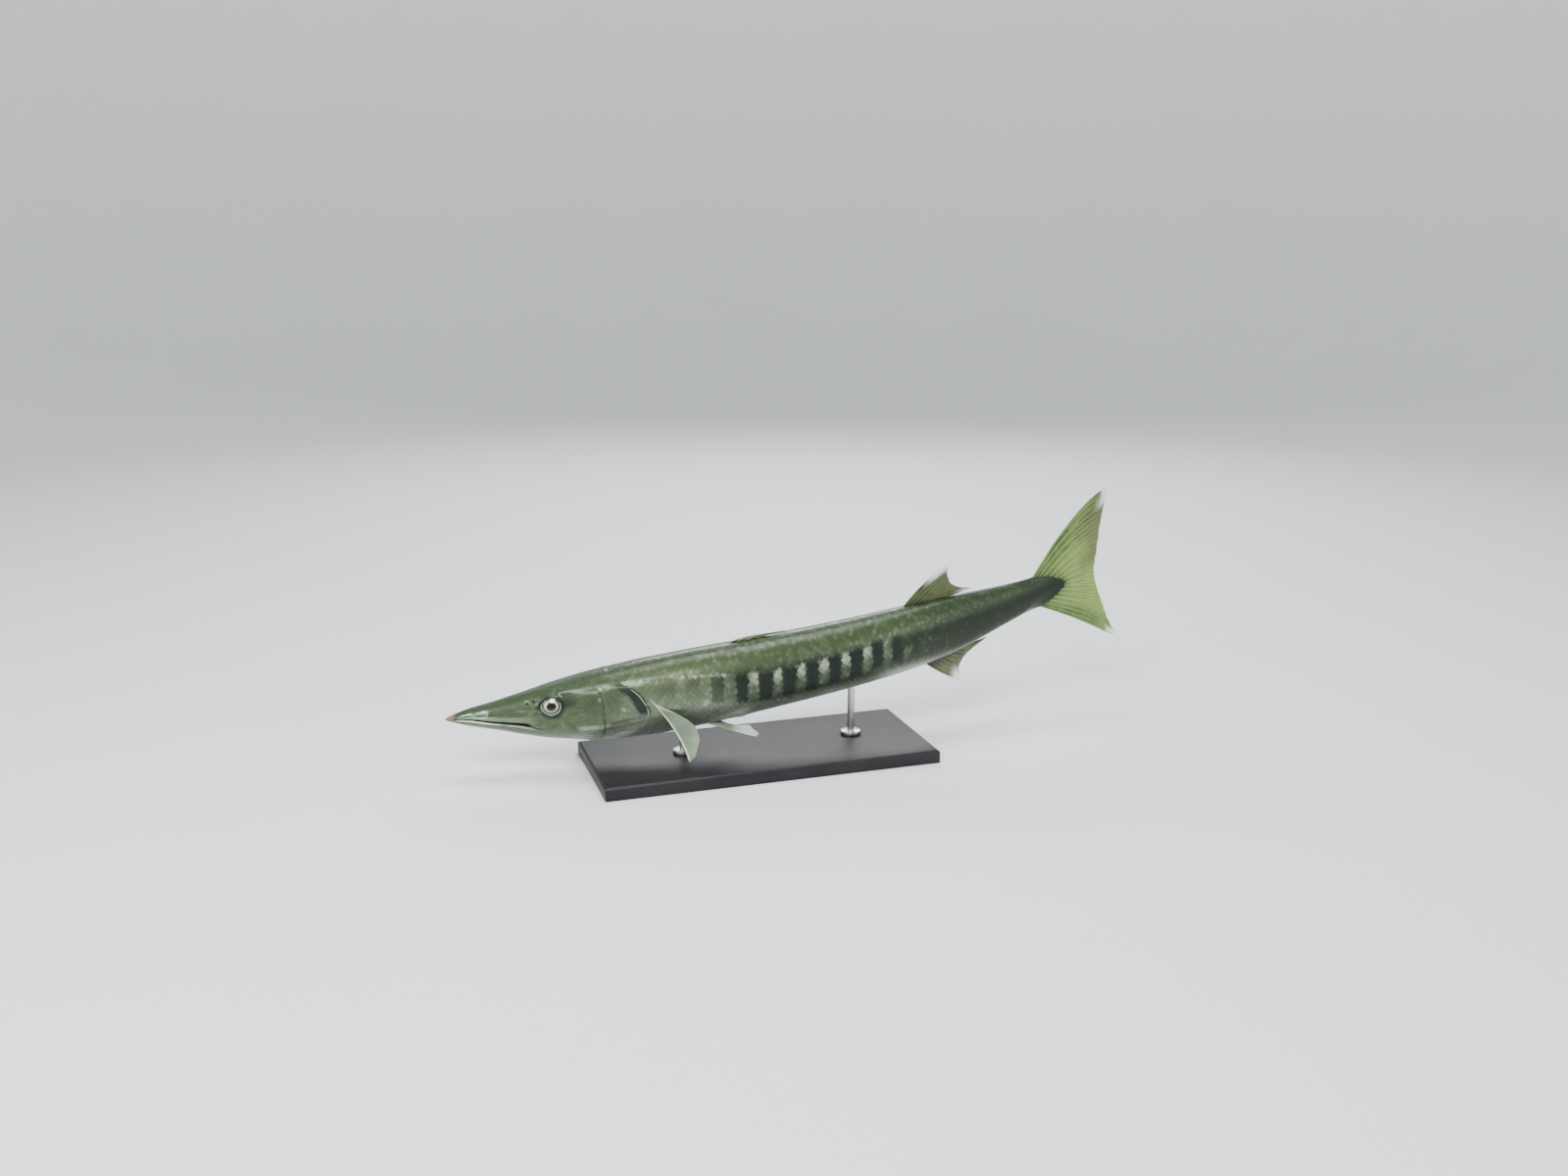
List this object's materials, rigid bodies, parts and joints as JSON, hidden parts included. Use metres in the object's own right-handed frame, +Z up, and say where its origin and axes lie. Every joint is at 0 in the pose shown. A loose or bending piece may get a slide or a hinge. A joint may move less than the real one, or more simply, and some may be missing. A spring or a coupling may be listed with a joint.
{
  "type": "great barracuda display model",
  "caption": "Life-size great barracuda, a long slim predatory fish with a jutting lower jaw, swimming in a gentle bend on a plain two-rod display stand.",
  "frame": {"origin": "middle of the model's box seen from above, at the underside of the stand's base", "axes": "+Z up; +X from the snout towards the tail fin, along the fish's length; the fish's left side faces -Y"},
  "size_m": [1.0042, 0.19, 0.337],
  "materials": {
    "head": "moist silver-green scales and skin, painted and clear coated",
    "lower_jaw": "pale silver-green skin, painted and clear coated",
    "flank": "silver scales with dark bars under an olive back, painted and clear coated",
    "tail": "dusky scales, painted and clear coated",
    "dark_fin": "olive fin membrane with pale tips and raised rays",
    "pale_fin": "pale, thin fin membrane with raised rays",
    "eye": "glass-clear eye with a silver-yellow ring and a black pupil",
    "rod": "brushed stainless steel",
    "base": "satin black"
  },
  "bodies": {
    "root": {"head": "head", "lower_jaw": "lower_jaw", "eye_left": "eye", "eye_right": "eye", "torso_front": "flank", "torso_middle": "flank", "torso_rear": "flank", "tail_stem": "tail", "dorsal_fin_front": "dark_fin", "dorsal_fin_rear": "dark_fin", "anal_fin": "dark_fin", "tail_fin_upper": "dark_fin", "tail_fin_lower": "dark_fin", "pectoral_fin_left": "pale_fin", "pectoral_fin_right": "pale_fin", "pelvic_fin_left": "pale_fin", "pelvic_fin_right": "pale_fin", "stand_rod_front": "rod", "stand_rod_rear": "rod", "stand_base": "base"}
  },
  "joints": []
}
